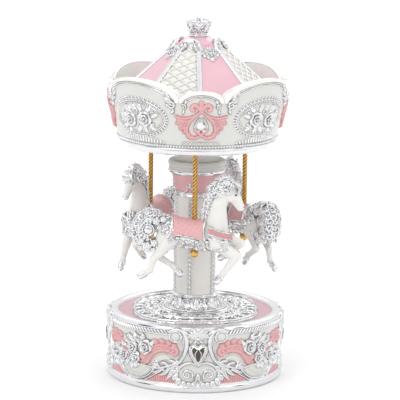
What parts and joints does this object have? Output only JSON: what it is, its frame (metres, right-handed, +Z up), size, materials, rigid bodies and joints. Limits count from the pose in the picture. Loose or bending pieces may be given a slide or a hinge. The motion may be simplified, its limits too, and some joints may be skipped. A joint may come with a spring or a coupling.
{
  "type": "wind-up music box",
  "caption": "Wind-up carousel music box: ornate round drum, column, prancing horses on twisted poles under a crown-shaped canopy with a panelled tent roof; the canopy turns",
  "frame": {"origin": "centre of the drum's foot on the floor", "axes": "+Z up, along the column; -Y is the front, where one cartouche and one small crown lobe face; +X is the viewer's right from the front"},
  "size_m": [0.1006, 0.1006, 0.2],
  "materials": {
    "pearl_lacquer": "warm pearl-white lacquer on cast resin",
    "silver_plate": "bright silver electroplate on cast resin",
    "pale_pink_lacquer": "satin pale pink lacquer",
    "rose_pink_lacquer": "satin rose pink lacquer",
    "stone_lacquer": "satin stone-white lacquer",
    "gilt": "bright gilt metal",
    "movement_brass": "turned and milled brass",
    "movement_steel": "plain steel",
    "black_board": "black moulded board"
  },
  "bodies": {
    "base": {"base_drum": "pearl_lacquer", "relief_plate": "silver_plate", "bottom_plate": "black_board", "bottom_screws": "movement_steel", "cartouche_1": "silver_plate", "cartouche_2": "silver_plate", "cartouche_3": "silver_plate", "cartouche_4": "silver_plate", "rose_spray_1": "silver_plate", "rose_spray_2": "silver_plate", "rose_spray_3": "silver_plate", "rose_spray_4": "silver_plate", "column_skirt": "silver_plate", "column_shaft": "stone_lacquer", "column_capital": "rose_pink_lacquer", "column_cap": "stone_lacquer", "shaft_bush": "movement_brass", "bedplate": "movement_brass", "movement_screws": "movement_steel", "comb": "movement_steel", "comb_block": "movement_brass", "cylinder_brackets": "movement_brass", "governor_posts": "movement_steel"},
    "carousel": {"crown_wall": "pearl_lacquer", "roof": "pale_pink_lacquer", "canopy_floor": "silver_plate", "finial": "silver_plate", "drive_hub": "movement_brass", "drive_shaft": "movement_steel", "great_wheel": "movement_brass", "spring_barrel": "movement_steel", "crown_cameo_1": "silver_plate", "crown_cameo_2": "silver_plate", "crown_cameo_3": "silver_plate", "crown_cameo_4": "silver_plate", "crown_scroll_1": "rose_pink_lacquer", "crown_scroll_2": "rose_pink_lacquer", "crown_scroll_3": "rose_pink_lacquer", "crown_scroll_4": "rose_pink_lacquer", "roof_lattice_1": "pearl_lacquer", "roof_lattice_2": "pearl_lacquer", "roof_lattice_3": "pearl_lacquer", "roof_lattice_4": "pearl_lacquer", "pole_nuts": "movement_brass", "horse_1": "pearl_lacquer", "horse_2": "pearl_lacquer", "horse_3": "pearl_lacquer", "pole_1": "gilt", "pole_2": "gilt", "pole_3": "gilt", "pole_ball_1": "gilt", "pole_ball_2": "gilt", "pole_ball_3": "gilt"},
    "cylinder": {"pin_cylinder": "movement_brass", "cylinder_shaft": "movement_steel"},
    "governor_wheel": {"governor_wheel": "movement_brass"},
    "governor_fan": {"governor_fan": "movement_steel"},
    "winding": {"winding_arbor": "movement_steel", "winding_key": "gilt"}
  },
  "joints": [
    {"name": "carousel_spin", "type": "hinge", "parent": "base", "child": "carousel", "pos_m": [0, 0, 0.08], "axis": [0, 0, 1], "continuous": true},
    {"name": "cylinder_spin", "type": "hinge", "parent": "base", "child": "cylinder", "pos_m": [0.02, 0, 0.02305], "axis": [1, 0, 0], "continuous": true},
    {"name": "governor_wheel_spin", "type": "hinge", "parent": "base", "child": "governor_wheel", "pos_m": [-0.01434, -0.01004, 0.016], "axis": [0, 0, 1], "continuous": true},
    {"name": "governor_fan_spin", "type": "hinge", "parent": "base", "child": "governor_fan", "pos_m": [-0.02436, -0.00493, 0.018], "axis": [0, 0, 1], "continuous": true},
    {"name": "winding_turn", "type": "hinge", "parent": "base", "child": "winding", "pos_m": [0, 0, 0.012], "axis": [0, 0, 1], "range_deg": [0, 1080]}
  ],
  "couplings": [
    {"joint": "cylinder_spin", "follows": "carousel_spin", "ratio": 3.75},
    {"joint": "governor_wheel_spin", "follows": "carousel_spin", "ratio": -6},
    {"joint": "governor_fan_spin", "follows": "carousel_spin", "ratio": 24}
  ]
}
